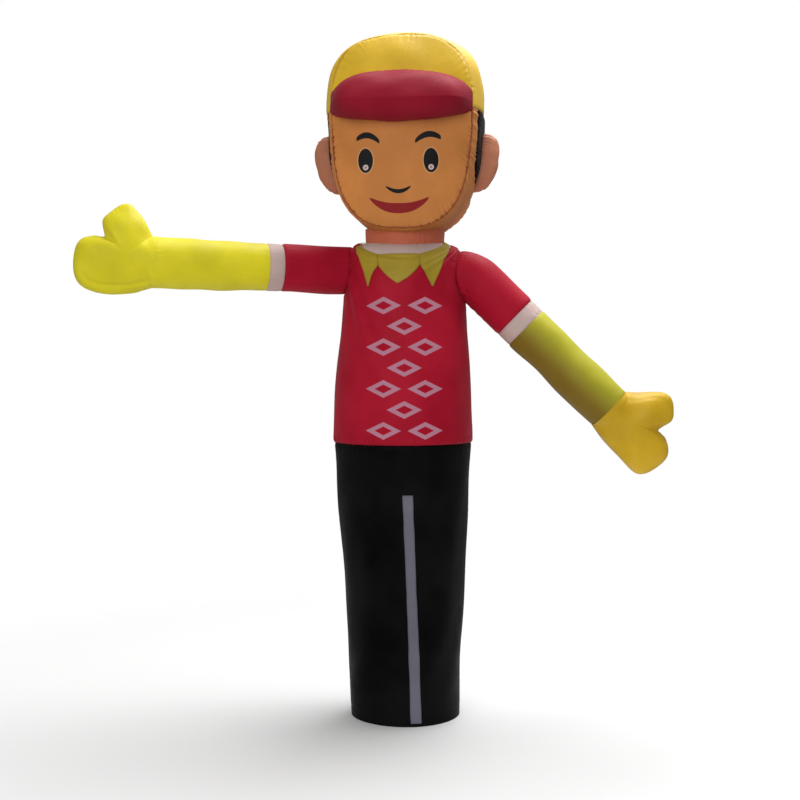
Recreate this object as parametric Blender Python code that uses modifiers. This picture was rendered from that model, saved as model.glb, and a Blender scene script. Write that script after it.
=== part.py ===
"""Inflatable air dancer: a standing nylon figure, three metres tall, waving with both arms.

Every piece is a thin sheet of cloth in its inflated shape, closed to its neighbours at the seams.
Metres, +Z up. The figure faces -Y and +X is to the right of whoever faces it; left and right in
the names are as seen from there. The origin is on the floor under the middle of the whole figure.
"""

import math

import bmesh
import bpy
import numpy as np
from mathutils import Vector

# Cloth and seams.
WALL = 0.002
TRIM_WALL = 0.001
GAP = 0.0003
SEAT = 0.0009
ROOT_SEAT = 0.0026
SEAM_STEP = WALL + GAP

# How finely round shapes are cut.
BODY_SIDES = 40
ARM_SIDES = 24
HEAD_SIDES = 20
SHIRT_RINGS = 11
NECK_BAND_RINGS = 3
STRIPE_RINGS = 14
STRIPE_STRIPS = 4
PATCH_RINGS = 8
PATCH_STRIPS = 10
VISOR_STRIPS = 24
EAR_SIDES = 24
PUFF_RINGS = 5

# How finely places on a surface are looked for.
SAMPLES = 600
HALVINGS = 30
BEND_STEP = math.radians(9)

# The standing tube, floor to shirt hem: height, radius, middle X.
LEG_ROWS = (
    (0.000, 0.234, 0.003),
    (0.300, 0.247, 0.000),
    (0.610, 0.262, -0.003),
    (0.900, 0.281, -0.006),
    (1.200, 0.3004, -0.009),
)
MIDDLES = {"legs": (0, 0, 0.6), "shirt": (0, 0, 1.6), "collar": (0, 0, 1.9), "neck": (0, 0, 2.1)}

# Shirt hem to neckline: height, half width, half depth, middle X, how far front and back dip.
SHIRT_ROWS = (
    (1.190, 0.303, 0.303, -0.009, 0.000),
    (1.400, 0.2990, 0.2990, -0.007, 0.000),
    (1.640, 0.2775, 0.2775, -0.005, 0.000),
    (1.840, 0.2610, 0.2610, -0.002, 0.000),
    (1.930, 0.2585, 0.2540, 0.000, 0.000),
    (1.990, 0.2560, 0.2400, 0.000, 0.002),
    (2.025, 0.251, 0.221, 0.000, 0.005),
    (2.048, 0.234, 0.202, 0.000, 0.009),
    (2.061, 0.211, 0.187, 0.000, 0.012),
    (2.068, 0.190, 0.177, 0.000, 0.014),
    (2.071, 0.1706, 0.1706, 0.000, 0.015),
)
NECKLINE_FRONT = 0.066
NECKLINE_SIDE = 0.002
NECKLINE_ROWS_APART = 0.1

# The neck ring runs from inside the band to inside the head.
NECK_RADIUS = 0.1693
NECK_FROM = 2.035
NECK_TO = 2.150

# Arms: side, height at the axis, how far behind the middle the axis starts, turn towards the front, drop,
# then places along the arm and radii.
BEND_START = 0.250
BEND_RADIUS = 0.108
LEFT_ARM = dict(side=-1, height=1.953, back=0.070, forward=math.radians(17), drop=math.radians(-1.2), cuff=0.566,
                forearm=0.631, wrist=1.118, root_radius=0.1005, wrist_radius=0.1095)
RIGHT_ARM = dict(side=1, height=1.930, back=-0.020, forward=math.radians(4), drop=math.radians(44.4),
                 cuff=0.553, forearm=0.620, wrist=1.122, root_radius=0.102, wrist_radius=0.102)

# Mittens: along the arm from the wrist, and across it towards the thumb.
LEFT_MITTEN = ((0.038, 0.178), (0.070, 0.217), (0.100, 0.240), (0.136, 0.234), (0.176, 0.204),
               (0.208, 0.166), (0.198, 0.102), (0.246, 0.101), (0.294, 0.084), (0.318, 0.040),
               (0.323, -0.040), (0.302, -0.098), (0.250, -0.130), (0.170, -0.142), (0.080, -0.133))
RIGHT_MITTEN = ((0.040, 0.137), (0.080, 0.180), (0.118, 0.214), (0.155, 0.222), (0.196, 0.200),
                (0.232, 0.152), (0.217, 0.084), (0.262, 0.081), (0.305, 0.058), (0.330, 0.020),
                (0.328, -0.040), (0.309, -0.096), (0.270, -0.122), (0.180, -0.120), (0.080, -0.116))
PALM_MIDDLE = (0.120, 0.025)
PALM_HALF_DEPTH = 0.088
MITTEN_STEPS = 2
MITTEN_RINGS = 5

# The head, about a middle at the height of the cap's edge.
HEAD_X = 0.0065
HEAD_HEIGHT = 2.630
HEAD_TURN = math.radians(-6.5)
HEAD_HALF_WIDTH = 0.341
HEAD_UP = 0.345
HEAD_DOWN = 0.530
PANEL_HALF_WIDTH = 0.299
PANEL_UP = 0.316
PANEL_DOWN = 0.507
PANEL_DEPTH = 0.210
PANEL_CROWN = 0.090
CAP_ROUNDNESS = 2.9
JAW_ROUNDNESS = 2.4
PANEL_ROUNDNESS = 2.9
PANEL_FALL = 2.4
BAND_SWELL = 2.6
PANEL_RINGS = 6
BAND_RINGS = 8

# Hair: where its front edge starts at the cap, how low it reaches and how fast its edge sweeps back.
HAIR_EDGE = -0.76
HAIR_LOW = math.radians(-54)
HAIR_TIP = 0.985
HAIR_SWEEP = 7
HAIR_GAP = 0.004
HAIR_SIDES = 12

# Visor: half length, heights at the middle and the ends, how far it stands out, and how that tapers.
VISOR_HALF = 0.296
VISOR_TOP = (2.768, 2.705)
VISOR_LOW = (2.568, 2.616)
VISOR_EDGE = (2.630, 2.655)
VISOR_REACH = 0.135
VISOR_PUFF = 0.026
VISOR_FLANK = 2.4
VISOR_TAPER = 4.0

# Ears: height, half height, half thickness, reach, and place front to back.
EAR_HEIGHT = 2.425
EAR_HALF_HEIGHT = 0.128
EAR_HALF_DEPTH = 0.050
EAR_REACH = 0.076
EAR_BACK = 0.010
EAR_ROUNDNESS = 0.45

# Collar pieces: angle from straight ahead and height, down each edge.
INSET_LEFT = ((-28.9, 2.000), (-26.8, 1.965), (-17.2, 1.916), (-7.6, 1.884))
INSET_RIGHT = ((14.0, 2.000), (14.1, 1.965), (4.1, 1.914), (-6.4, 1.884))
FLAP_LEFT_OUTER = ((-46.9, 2.034), (-51.7, 2.016), (-42.9, 1.944), (-37.2, 1.872))
FLAP_LEFT_INNER = ((-30.4, 2.001), (-28.6, 1.965), (-32.0, 1.926), (-36.0, 1.872))
FLAP_RIGHT_INNER = ((15.8, 1.998), (16.0, 1.965), (20.6, 1.918), (25.8, 1.872))
FLAP_RIGHT_OUTER = ((40.7, 2.034), (42.6, 2.004), (33.0, 1.931), (27.0, 1.872))

# Leg stripe: height, angle of its middle from straight ahead, half width.
STRIPE_ROWS = ((0.025, 10.8, 0.0235), (0.350, 8.2, 0.0225), (0.580, 6.0, 0.0200), (0.981, 3.4, 0.0225))

# The cloth colours, linear.
BLACK = (0.012, 0.012, 0.014)
GREY = (0.22, 0.22, 0.26)
RED = (0.42, 0.012, 0.030)
WHITE = (0.62, 0.55, 0.53)
OLIVE = (0.42, 0.34, 0.030)
LIME = (0.66, 0.60, 0.020)
ORANGE = (0.66, 0.42, 0.015)
SKIN = (0.56, 0.24, 0.085)
EAR_SKIN = (0.45, 0.18, 0.10)
YELLOW = (0.66, 0.44, 0.025)
CRIMSON = (0.36, 0.012, 0.045)


def clear_scene():
    """Remove whatever the file opened with."""
    for thing in list(bpy.data.objects):
        bpy.data.objects.remove(thing, do_unlink=True)


def collection(name):
    """A new collection under the scene."""
    made = bpy.data.collections.new(name)
    bpy.context.scene.collection.children.link(made)
    return made


def spline(rows, at):
    """Values of a smooth curve through table rows, at row numbers that may lie between rows."""
    rows = np.asarray(rows, float)
    at = np.clip(np.asarray(at, float), 0, len(rows) - 1)
    low = np.minimum(at.astype(int), len(rows) - 2)
    share = (at - low)[..., None]
    before, after = rows[np.maximum(low - 1, 0)], rows[np.minimum(low + 2, len(rows) - 1)]
    start, end = rows[low], rows[low + 1]
    bend = 2 * before - 5 * start + 4 * end - after
    return start + share / 2 * (end - before + share * (bend + share * (3 * (start - end) + after - before)))


def paint(thing, colour):
    """Give an object its own cloth material."""
    cloth = bpy.data.materials.new(thing.name)
    cloth.use_nodes = True
    shader = cloth.node_tree.nodes["Principled BSDF"]
    shader.inputs["Base Color"].default_value = (*colour, 1)
    shader.inputs["Roughness"].default_value = 0.55
    shader.inputs["Metallic"].default_value = 0.0
    thing.data.materials.append(cloth)


def mesh_from_grid(name, grid, around, inside):
    """A smooth mesh over a grid of points, facing away from a point inside the figure."""
    count, width = grid.shape[:2]
    spans = width if around else width - 1
    faces = []
    for row in range(count - 1):
        for column in range(spans):
            after = (column + 1) % width
            faces.append((row * width + column, row * width + after, (row + 1) * width + after,
                          (row + 1) * width + column))
    shape = bmesh.new()
    corners = [shape.verts.new(point) for point in grid.reshape(-1, 3)]
    for face in faces:
        shape.faces.new([corners[index] for index in face])
    bmesh.ops.remove_doubles(shape, verts=shape.verts, dist=1e-5)
    shape.normal_update()
    inside = Vector(inside)
    outward = sum(face.normal.dot(face.calc_center_median() - inside) * face.calc_area() for face in shape.faces)
    if outward < 0:
        bmesh.ops.reverse_faces(shape, faces=shape.faces)
    mesh = bpy.data.meshes.new(name)
    shape.to_mesh(mesh)
    shape.free()
    mesh.shade_smooth()
    return mesh


def sheet(name, grid, colour, inside, around=False, wall=WALL, side=-1):
    """A cloth piece: a grid of points with its thickness on the inner side (-1) or the outer (1)."""
    thing = bpy.data.objects.new(name, mesh_from_grid(name, grid, around, inside))
    pieces.objects.link(thing)
    if wall:
        thickness = thing.modifiers.new("cloth", "SOLIDIFY")
        thickness.thickness = wall
        thickness.offset = side
    paint(thing, colour)
    return thing


def cut(thing, grid, inside):
    """Take a closed plug through a grid of rings out of a piece."""
    ends = [np.broadcast_to(ring.mean(axis=0), ring.shape)[None] for ring in (grid[0], grid[-1])]
    plug = np.concatenate([ends[0], grid, ends[1]])
    name = f"{thing.name}_hole_{len(cutters.objects)}"
    cutter = bpy.data.objects.new(name, mesh_from_grid(name, plug, True, inside))
    cutters.objects.link(cutter)
    cutter.hide_render = True
    cutter.display_type = "WIRE"
    hole = thing.modifiers.new("hole", "BOOLEAN")
    hole.operation = "DIFFERENCE"
    hole.solver = "EXACT"
    hole.object = cutter


def rings(rows, sides):
    """Circles or ovals: each row is height, half width, half depth, middle X and dip."""
    turn = np.linspace(0, 2 * math.pi, sides, endpoint=False)
    height, wide, deep, middle, dip = (np.asarray(rows)[:, column, None] for column in range(5))
    x = middle + wide * np.sin(turn)
    y = -deep * np.cos(turn)
    z = height - dip * np.cos(turn) ** 2
    return np.stack([x, y, z], axis=-1)


def leg_row(height):
    """Radius and middle X of the leg tube at a height."""
    heights = np.array(LEG_ROWS)[:, 0]
    return [float(np.interp(height, heights, np.array(LEG_ROWS)[:, column])) for column in (1, 2)]


def trousers():
    """The black tube from the floor to the shirt, both faces of its cloth, with a level rim below."""
    outer, inner = ([(height, radius - wall, radius - wall, middle, 0.0) for height, radius, middle in LEG_ROWS]
                    for wall in (0, WALL))
    grid = rings([*outer, *inner[::-1], outer[0]], BODY_SIDES)
    sheet("trousers", grid, BLACK, MIDDLES["legs"], around=True, wall=0)


def leg_stripe():
    """The grey strip up the front, on the trousers' surface."""
    grid = []
    for height in np.linspace(STRIPE_ROWS[0][0], STRIPE_ROWS[-1][0], STRIPE_RINGS + 1):
        table = np.array(STRIPE_ROWS)
        angle = math.radians(np.interp(height, table[:, 0], table[:, 1]))
        half = np.interp(height, table[:, 0], table[:, 2])
        radius, middle = leg_row(height)
        turns = angle + np.linspace(-half, half, STRIPE_STRIPS + 1) / radius
        reach = radius + SEAT
        grid.append([(middle + reach * math.sin(turn), -reach * math.cos(turn), height) for turn in turns])
    sheet("leg_stripe", np.array(grid), GREY, MIDDLES["legs"], wall=TRIM_WALL, side=1)


def shirt_surface(turn, along):
    """Points of the shirt and neck band, at angles from straight ahead and places along the rows."""
    height, wide, deep, middle, dip = np.moveaxis(spline(SHIRT_ROWS, along), -1, 0)
    x = middle + wide * np.sin(turn)
    y = -deep * np.cos(turn)
    return np.stack([x, y, height - dip * np.cos(turn) ** 2], axis=-1)


def along_at(turn, height):
    """The place along the shirt's rows where it reaches a height, at one angle."""
    places = np.linspace(0, len(SHIRT_ROWS) - 1, SAMPLES)
    return float(np.interp(height, shirt_surface(np.full(SAMPLES, turn), places)[:, 2], places))


def neckline(turn):
    """Where the shirt stops and the band starts: lower at the front and back than at the sides."""
    top = SHIRT_ROWS[-1][0]
    drop = NECKLINE_SIDE + (NECKLINE_FRONT - NECKLINE_SIDE) * math.cos(turn) ** 2
    return along_at(turn, top - SHIRT_ROWS[-1][4] * math.cos(turn) ** 2 - drop)


def shirt_and_band():
    """The red shirt up to the neckline, and the white band above it."""
    turns = np.linspace(0, 2 * math.pi, BODY_SIDES, endpoint=False)
    edges = np.array([neckline(turn) for turn in turns])
    top = len(SHIRT_ROWS) - 1
    shares = np.linspace(0, 1, SHIRT_RINGS + 1)[:, None]
    shirt = sheet("shirt", shirt_surface(turns, shares * edges), RED, MIDDLES["shirt"], around=True)
    starts = edges + NECKLINE_ROWS_APART
    shares = np.linspace(0, 1, NECK_BAND_RINGS + 1)[:, None]
    band_grid = shirt_surface(turns, starts + shares * (top - starts))
    sheet("neck_band", band_grid, WHITE, MIDDLES["collar"], around=True)
    return shirt


def patch(name, left, right):
    """A collar piece on the shirt between two edges, each a list of angle and height."""
    turns, heights = [], []
    for share in np.linspace(0, 1, PATCH_RINGS + 1):
        ends = [spline(edge, share * (len(edge) - 1)) for edge in (left, right)]
        spread = np.linspace(0, 1, PATCH_STRIPS + 1)[:, None]
        row = ends[0] + (ends[1] - ends[0]) * spread
        turns.append(np.radians(row[:, 0]))
        heights.append(row[:, 1])
    turns = np.array(turns)
    places = np.array([[along_at(turn, height) for turn, height in zip(*row)] for row in zip(turns, heights)])
    grid = shirt_surface(turns, places)
    slope = shirt_surface(turns, places + 0.05) - shirt_surface(turns, places - 0.05)
    side = shirt_surface(turns + 0.01, places) - shirt_surface(turns - 0.01, places)
    outward = np.cross(side, slope)
    grid = grid + SEAT * outward / np.linalg.norm(outward, axis=-1, keepdims=True)
    sheet(name, grid, OLIVE, MIDDLES["shirt"], wall=TRIM_WALL, side=1)


def collar():
    """The V inset and the two pointed flaps."""
    patch("collar_inset", INSET_LEFT, INSET_RIGHT)
    patch("collar_flap_right", FLAP_RIGHT_INNER, FLAP_RIGHT_OUTER)
    patch("collar_flap_left", FLAP_LEFT_OUTER, FLAP_LEFT_INNER)


def arm_frame(arm, place):
    """Middle point, direction, up and depth of an arm at a distance along it."""
    out = np.array([arm["side"] * math.cos(arm["forward"]), -math.sin(arm["forward"]), 0])
    up = np.array([0, 0, 1])
    bend = min(max(place - BEND_START, 0) / BEND_RADIUS, abs(arm["drop"]))
    way = math.copysign(1, arm["drop"])
    straight = max(place - BEND_START - BEND_RADIUS * abs(arm["drop"]), 0)
    along = out * math.cos(bend) - way * up * math.sin(bend)
    across = way * out * math.sin(bend) + up * math.cos(bend)
    middle = np.array([0, arm["back"], arm["height"]]) + out * (min(place, BEND_START) + BEND_RADIUS * math.sin(bend))
    middle = middle - way * up * BEND_RADIUS * (1 - math.cos(bend)) + along * straight
    return middle, along, across, np.cross(along, across)


def arm_radius(arm, place):
    """Radius of an arm, constant near the shoulder and changing evenly to the wrist."""
    return float(np.interp(place, (arm["cuff"], arm["wrist"]), (arm["root_radius"], arm["wrist_radius"])))


def arm_point(arm, place, turn, extra=0.0):
    """A point on the skin of an arm, at an angle about it from its upper side."""
    middle, _, across, depth = arm_frame(arm, place)
    reach = arm_radius(arm, place) + extra
    return middle + reach * (math.cos(turn) * across + math.sin(turn) * depth)


def in_shirt(point):
    """Whether a point lies inside the shirt's surface."""
    turn = math.atan2(point[0], -point[1])
    places = np.linspace(0, len(SHIRT_ROWS) - 1, SAMPLES)
    shell = shirt_surface(np.full(SAMPLES, turn), places)
    if point[2] > shell[-1, 2]:
        return False
    reach = np.interp(point[2], shell[:, 2], np.hypot(shell[:, 0], shell[:, 1]))
    return math.hypot(point[0], point[1]) < reach


def armhole(arm, turn):
    """Distance along the arm where one line of its skin leaves the shirt."""
    inside, outside = 0.10, 0.34
    for _ in range(HALVINGS):
        middle = (inside + outside) / 2
        if in_shirt(arm_point(arm, middle, turn)):
            inside = middle
        else:
            outside = middle
    return inside - SEAM_STEP


def arm_turns():
    """The angles about an arm at which its skin has points."""
    return np.linspace(0, 2 * math.pi, ARM_SIDES, endpoint=False)


def bend_places(arm):
    """Places along an arm past the armhole where its bend needs a ring, and the cuff's edge."""
    steps = round(abs(arm["drop"]) / BEND_STEP) + 1
    return [*np.linspace(BEND_START, BEND_START + BEND_RADIUS * abs(arm["drop"]), steps), arm["cuff"] - GAP]


def tube(name, arm, start, end, colour):
    """A straight piece of an arm between two places along it."""
    grid = [[arm_point(arm, place, turn) for turn in arm_turns()] for place in np.linspace(start, end, 3)]
    sheet(name, np.array(grid), colour, arm_frame(arm, (start + end) / 2)[0], around=True)


def arm_pieces(arm, label, shirt, forearm_colour, hand_colour, mitten):
    """Sleeve, cuff, forearm and hand of one arm, and its armhole in the shirt."""
    later = bend_places(arm)
    starts = [min(armhole(arm, turn), BEND_START - GAP) for turn in arm_turns()]
    columns = [[arm_point(arm, place, turn) for place in (start, *later)]
               for start, turn in zip(starts, arm_turns())]
    sleeve = np.array(columns).transpose(1, 0, 2)
    sheet(f"sleeve_{label}", sleeve, RED, arm_frame(arm, 0.3)[0], around=True)
    plug = [[arm_point(arm, place, turn, SEAT) for turn in arm_turns()] for place in (0.05, *later)]
    cut(shirt, np.array(plug), arm_frame(arm, 0.3)[0])
    tube(f"cuff_{label}", arm, arm["cuff"], arm["forearm"] - GAP, WHITE)
    tube(f"forearm_{label}", arm, arm["forearm"], arm["wrist"] - GAP, forearm_colour)
    hand(f"hand_{label}", arm, hand_colour, mitten)


def mitten_edge(arm, outline):
    """The flat edge of a mitten from the wrist's top round to its bottom, then back across the wrist."""
    radius = arm["wrist_radius"]
    through = [(0, radius), *outline, (0, -radius)]
    edge = spline(through, np.linspace(0, len(through) - 1, MITTEN_STEPS * (len(through) - 1) + 1))
    back = np.linspace(math.pi, 0, ARM_SIDES // 2 + 1)[1:-1]
    wrist = np.stack([np.zeros_like(back), radius * np.cos(back)], axis=-1)
    depths = np.concatenate([np.zeros(len(edge)), radius * np.sin(back)])
    return np.concatenate([edge, wrist]), depths


def hand(name, arm, colour, outline):
    """A puffed mitten of two panels, open at the wrist."""
    edge, edge_depth = mitten_edge(arm, outline)
    origin, along, across, depth = arm_frame(arm, arm["wrist"] + SEAT)
    middle = np.array(PALM_MIDDLE)
    shares = np.sin(np.linspace(0, math.pi / 2, MITTEN_RINGS + 1))
    rows = []
    for sign in (1, -1):
        front = []
        for share in shares:
            flat = middle + (edge - middle) * share
            puff = np.sqrt(PALM_HALF_DEPTH**2 * (1 - share**2) + (edge_depth * share) ** 2)
            front.append(origin + flat[:, :1] * along + flat[:, 1:] * across + sign * puff[:, None] * depth)
        rows.append(np.array(front))
    both = np.concatenate([rows[0], rows[1][::-1]])
    thing = sheet(name, both, colour, origin + 0.15 * along, around=True)
    open_wrist(thing, origin, along)


def open_wrist(thing, origin, along):
    """Take away the flat strip that joins the two panels across the wrist."""
    shape = bmesh.new()
    shape.from_mesh(thing.data)
    origin, along = Vector(origin), Vector(along)
    across = [face for face in shape.faces
              if all(abs((corner.co - origin).dot(along)) < 1e-5 for corner in face.verts)]
    bmesh.ops.delete(shape, geom=across, context="FACES")
    shape.to_mesh(thing.data)
    shape.free()


def polar(angle, half_width, up, down, power_up, power_down):
    """How far a rounded-box outline lies from its middle, at an angle from +X."""
    rise = np.where(np.sin(angle) >= 0, up, down)
    power = np.where(np.sin(angle) >= 0, power_up, power_down)
    return (np.abs(np.cos(angle) / half_width) ** power + np.abs(np.sin(angle) / rise) ** power) ** (-1 / power)


def head_edge(angle):
    """The head's widest outline."""
    return polar(angle, HEAD_HALF_WIDTH, HEAD_UP, HEAD_DOWN, CAP_ROUNDNESS, JAW_ROUNDNESS)


def panel_edge(angle):
    """The seam round the front or back panel."""
    return polar(angle, PANEL_HALF_WIDTH, PANEL_UP, PANEL_DOWN, PANEL_ROUNDNESS, PANEL_ROUNDNESS)


def on_head(angle, reach, depth, lift=0.0):
    """A point of the head from its own polar place, turned with the head."""
    x, y = reach * np.cos(angle), depth
    turned = np.stack([x * math.cos(HEAD_TURN) - y * math.sin(HEAD_TURN) + HEAD_X,
                       x * math.sin(HEAD_TURN) + y * math.cos(HEAD_TURN),
                       HEAD_HEIGHT + reach * np.sin(angle) + lift], axis=-1)
    return turned


def panel_depth(share):
    """How far in front of the head's middle a panel lies, from its middle (0) to its seam (1)."""
    return PANEL_DEPTH + PANEL_CROWN * (1 - np.asarray(share) ** PANEL_FALL)


def panel(name, low, high, side, colour, lift=0.0):
    """A front (side -1) or back (side 1) panel between two angles."""
    angles = np.linspace(low, high, HEAD_SIDES + 1)
    shares = np.sin(np.linspace(0, math.pi / 2, PANEL_RINGS + 1))[:, None]
    grid = on_head(angles, shares * panel_edge(angles), side * panel_depth(shares) + 0 * angles, lift)
    sheet(name, grid, colour, (HEAD_X, 0, HEAD_HEIGHT))


def band_surface(angle, across, lift=0.0):
    """The strip between the panels: across runs from -1 at the front seam to 1 at the back seam."""
    reach = head_edge(angle) + (panel_edge(angle) - head_edge(angle)) * np.abs(across) ** BAND_SWELL
    return on_head(angle, reach, across * (PANEL_DEPTH - SEAM_STEP), lift)


def band(name, angles, front, back, colour, lift=0.0):
    """A piece of the strip, between a front edge and a back edge given at each angle."""
    shares = np.linspace(0, 1, BAND_RINGS + 1)[:, None]
    across = front + (back - front) * shares
    return sheet(name, band_surface(angles + 0 * across, across, lift), colour, (HEAD_X, 0, HEAD_HEIGHT))


def hair_edge(angles):
    """Front edge of the hair on the strip: it moves back as it goes down, and meets the back seam."""
    share = np.clip(np.minimum(-angles, angles + math.pi) / -HAIR_LOW, 0, 1)
    return HAIR_EDGE + (HAIR_TIP - HAIR_EDGE) * share**HAIR_SWEEP


def head():
    """Cap, face, jaw strip and hair."""
    up, down = math.pi, -math.pi
    panel("cap_front", 0, up, -1, YELLOW, GAP)
    panel("cap_back", 0, up, 1, YELLOW, GAP)
    panel("face", down, 0, -1, SKIN)
    panel("hair_back", down, 0, 1, BLACK)
    cap_angles = np.linspace(0, up, HEAD_SIDES + 1)
    band("cap_side", cap_angles, -np.ones_like(cap_angles), np.ones_like(cap_angles), YELLOW, GAP)
    jaw_angles = np.linspace(down, 0, 2 * HEAD_SIDES + 1)
    low_down = np.minimum(-jaw_angles, jaw_angles + math.pi) > -HAIR_LOW + 0.01
    edge = np.where(low_down, 1, hair_edge(jaw_angles) - HAIR_GAP)
    jaw = band("head_side", jaw_angles, -np.ones_like(edge), edge, SKIN)
    for label, low, high in (("right", HAIR_LOW, 0), ("left", down, down - HAIR_LOW)):
        angles = np.linspace(low, high, HAIR_SIDES + 1)
        band(f"hair_side_{label}", angles, hair_edge(angles), np.ones_like(angles), BLACK)
    return jaw


def neck(jaw):
    """The ring between the band and the head, and the hole that it passes in the head."""
    def rows(extra, heights):
        return [(height, NECK_RADIUS + extra, NECK_RADIUS + extra, 0.0, 0.0) for height in heights]

    heights = np.linspace(NECK_FROM, NECK_TO, 3)
    sheet("neck", rings(rows(0, heights), BODY_SIDES), EAR_SKIN, MIDDLES["neck"], around=True)
    cut(jaw, rings(rows(GAP, heights + np.array([0, 0, 0.1])), BODY_SIDES), MIDDLES["neck"])


def front_of_head(x, z):
    """Depth of the front panels at a place in the head's own frame."""
    angle = np.arctan2(z, x)
    share = np.hypot(x, z) / panel_edge(angle)
    return -panel_depth(np.minimum(share, 1)) - ROOT_SEAT


def visor():
    """The puffy crescent over the seam between cap and face, open at its root."""
    spread = np.sin(np.linspace(-math.pi / 2, math.pi / 2, VISOR_STRIPS + 1))
    flank = np.abs(spread) ** VISOR_FLANK
    x = VISOR_HALF * spread
    top, low, edge = (middle + (end - middle) * flank - HEAD_HEIGHT
                      for middle, end in (VISOR_TOP, VISOR_LOW, VISOR_EDGE))
    reach = VISOR_REACH * (1 - np.abs(spread) ** VISOR_TAPER)
    edge_depth = front_of_head(x, edge) - reach
    grid = []
    for start, finish, side in ((top, edge, 1), (edge, low, -1)):
        for share in np.linspace(0, 1, PUFF_RINGS + 1)[(side < 0):]:
            depths = [edge_depth if line is edge else front_of_head(x, line) for line in (start, finish)]
            bulge = 4 * share * (1 - share) * VISOR_PUFF * reach / VISOR_REACH
            z = start + (finish - start) * share + side * bulge
            y = depths[0] + (depths[1] - depths[0]) * share - 0.6 * bulge
            grid.append(on_head(np.arctan2(z, x), np.hypot(x, z), y))
    sheet("visor", np.array(grid), CRIMSON, (HEAD_X, 0, HEAD_HEIGHT))


def ear(label, side):
    """A puffy pad on the strip, open at its root."""
    turns = np.linspace(0, 2 * math.pi, EAR_SIDES, endpoint=False)
    grid = []
    for share in np.linspace(0, 1, PUFF_RINGS + 1):
        height = EAR_HEIGHT - HEAD_HEIGHT + EAR_HALF_HEIGHT * np.cos(turns)
        back = EAR_BACK + EAR_HALF_DEPTH * np.sin(turns)
        roots = [root_reach(z, y) for z, y in zip(height, back)]
        shrink = math.cos(share * math.pi / 2) ** EAR_ROUNDNESS
        middle_root = root_reach(EAR_HEIGHT - HEAD_HEIGHT, EAR_BACK)
        x = np.array(roots) * shrink + middle_root * (1 - shrink)
        x = x + SEAT + EAR_REACH * math.sin(share * math.pi / 2)
        z = EAR_HEIGHT - HEAD_HEIGHT + EAR_HALF_HEIGHT * np.cos(turns) * shrink
        y = EAR_BACK + EAR_HALF_DEPTH * np.sin(turns) * shrink
        grid.append(on_head(np.arctan2(z, side * x), np.hypot(x, z), y))
    middle = on_head(np.array(0.0), np.array(side * 0.30), np.array(EAR_BACK)) - (0, 0, 0.2)
    sheet(f"ear_{label}", np.array(grid), EAR_SKIN, tuple(middle), around=True)


def root_reach(z, y):
    """Half width of the head's strip at a height and depth in its own frame."""
    swell = abs(y / (PANEL_DEPTH - SEAM_STEP)) ** BAND_SWELL
    low, high = 0.15, 0.40
    for _ in range(HALVINGS):
        x = (low + high) / 2
        angle = math.atan2(z, x)
        reach = head_edge(angle) + (panel_edge(angle) - head_edge(angle)) * swell
        if math.hypot(x, z) < reach:
            low = x
        else:
            high = x
    return low


def stand_on_origin():
    """Move everything so that the origin is on the floor under the middle of the figure."""
    bpy.context.view_layer.update()
    corners = np.array([thing.matrix_world @ vertex.co for thing in pieces.objects for vertex in thing.data.vertices])
    middle = (corners.min(axis=0) + corners.max(axis=0)) / 2
    shift = (-middle[0], -middle[1], -corners[:, 2].min())
    for thing in (*pieces.objects, *cutters.objects):
        thing.location = shift


clear_scene()
pieces = collection("air_dancer")
cutters = collection("cutters")

trousers()
leg_stripe()
shirt_piece = shirt_and_band()
collar()
arm_pieces(LEFT_ARM, "left", shirt_piece, LIME, LIME, LEFT_MITTEN)
arm_pieces(RIGHT_ARM, "right", shirt_piece, LIME, ORANGE, RIGHT_MITTEN)
jaw_piece = head()
neck(jaw_piece)
visor()
ear("left", -1)
ear("right", 1)
stand_on_origin()
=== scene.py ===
"""The looks of the inflatable air dancer: every cloth piece in fine detail, its nylon, and the studio.

The shapes repeat part.py's sizes. Seams are gathered by relief that fades away from each sewn edge.
Metres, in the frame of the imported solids; left and right are as seen from the front.
"""

import math

import bmesh
import bpy
import numpy as np
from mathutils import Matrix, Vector


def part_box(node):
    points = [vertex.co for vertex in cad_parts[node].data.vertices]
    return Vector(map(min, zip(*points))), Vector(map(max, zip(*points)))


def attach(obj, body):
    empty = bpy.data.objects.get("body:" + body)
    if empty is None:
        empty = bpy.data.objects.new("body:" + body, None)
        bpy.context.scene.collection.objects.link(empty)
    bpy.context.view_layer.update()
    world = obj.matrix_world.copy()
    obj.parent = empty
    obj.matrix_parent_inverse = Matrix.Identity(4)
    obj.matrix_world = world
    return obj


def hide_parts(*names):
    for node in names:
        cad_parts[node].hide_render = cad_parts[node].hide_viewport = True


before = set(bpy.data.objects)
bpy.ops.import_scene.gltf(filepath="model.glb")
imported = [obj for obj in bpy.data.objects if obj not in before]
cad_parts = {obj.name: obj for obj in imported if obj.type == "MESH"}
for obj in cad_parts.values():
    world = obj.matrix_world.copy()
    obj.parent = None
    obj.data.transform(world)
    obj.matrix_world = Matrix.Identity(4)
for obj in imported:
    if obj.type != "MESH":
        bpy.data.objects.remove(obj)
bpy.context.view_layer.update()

# The standing tube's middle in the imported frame, from the neck ring.
NECK_LOW, NECK_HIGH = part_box("neck")
AXIS = np.array([(NECK_LOW[0] + NECK_HIGH[0]) / 2, (NECK_LOW[1] + NECK_HIGH[1]) / 2, 0.0])

# Seams: the allowance that turns inwards, how far the cloth rises beside a seam and over what distance,
# then the trim's thickness, what counts as one point, and the lines of a grid that are its edges.
SEAM_TUCK = 0.007
SEAM_RISE = 0.0035
SEAM_REACH = 0.009
TRIM_THICKNESS = 0.0012
WELD_DISTANCE = 2e-5
EDGE_LINES = {"start": np.s_[0], "end": np.s_[-1], "left": np.s_[:, 0], "right": np.s_[:, -1]}

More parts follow.
